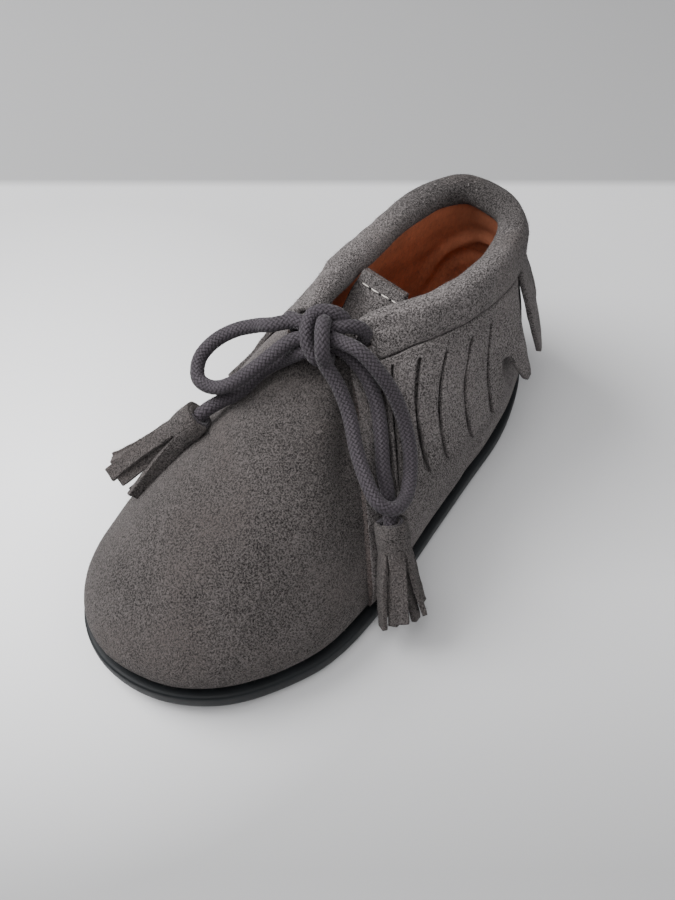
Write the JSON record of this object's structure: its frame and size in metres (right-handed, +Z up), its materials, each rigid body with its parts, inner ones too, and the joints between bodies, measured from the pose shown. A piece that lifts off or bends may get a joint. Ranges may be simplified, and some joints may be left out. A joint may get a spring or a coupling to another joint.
{
  "type": "child's fringe boot",
  "caption": "Low suede moccasin boot for a small child, left foot: padded collar, slit fringe round the ankle, round lace in a bow with suede tassels, thin rubber sole.",
  "frame": {"origin": "on the floor, under the middle of the sole's length on its centre line", "axes": "+Z up from the floor, +Y towards the heel so that the toe points to -Y, +X towards the wearer's left, the outer side of this left boot"},
  "size_m": [0.0794, 0.1522, 0.0642],
  "materials": {
    "suede": "mid grey suede with a soft nap",
    "lining_leather": "smooth chestnut leather",
    "rubber": "satin dark blue-grey rubber",
    "lace_cord": "braided round cord, dark slate"
  },
  "bodies": {
    "root": {"outsole": "rubber", "upper": "suede", "insole": "lining_leather", "tongue": "suede", "collar_roll": "suede", "fringe_side_out": "suede", "fringe_back": "suede", "fringe_side_in": "suede", "lace_bar": "lace_cord", "lace_knot": "lace_cord", "lace_loop_out": "lace_cord", "lace_loop_in": "lace_cord", "lace_end_out": "lace_cord", "lace_end_in": "lace_cord", "tassel_out": "suede", "tassel_in": "suede"}
  },
  "joints": []
}
